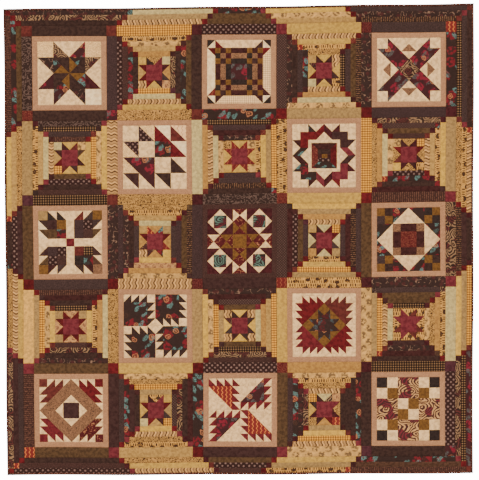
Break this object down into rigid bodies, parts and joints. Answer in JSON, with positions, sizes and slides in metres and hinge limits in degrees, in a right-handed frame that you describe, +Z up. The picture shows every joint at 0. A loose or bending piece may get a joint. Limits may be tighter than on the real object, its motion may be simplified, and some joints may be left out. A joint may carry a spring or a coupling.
{
  "type": "pieced star sampler quilt",
  "caption": "Square patchwork bed quilt of sampler blocks and log-framed stars, bound at its edges, lying flat face up.",
  "frame": {"origin": "middle of the flat underside, on the surface that the quilt lies on", "axes": "+Z up, through the quilt's thickness; +Y towards the quilt's top edge as seen face on; +X to its right"},
  "size_m": [2.2584, 2.2646, 0.0064],
  "materials": {
    "quilt_cloth": "washed cotton patchwork, matt",
    "binding_cloth": "dark red-brown cotton, matt"
  },
  "bodies": {
    "root": {"quilted_layers": "quilt_cloth", "binding_bottom": "binding_cloth", "binding_right": "binding_cloth", "binding_top": "binding_cloth", "binding_left": "binding_cloth"}
  },
  "joints": []
}
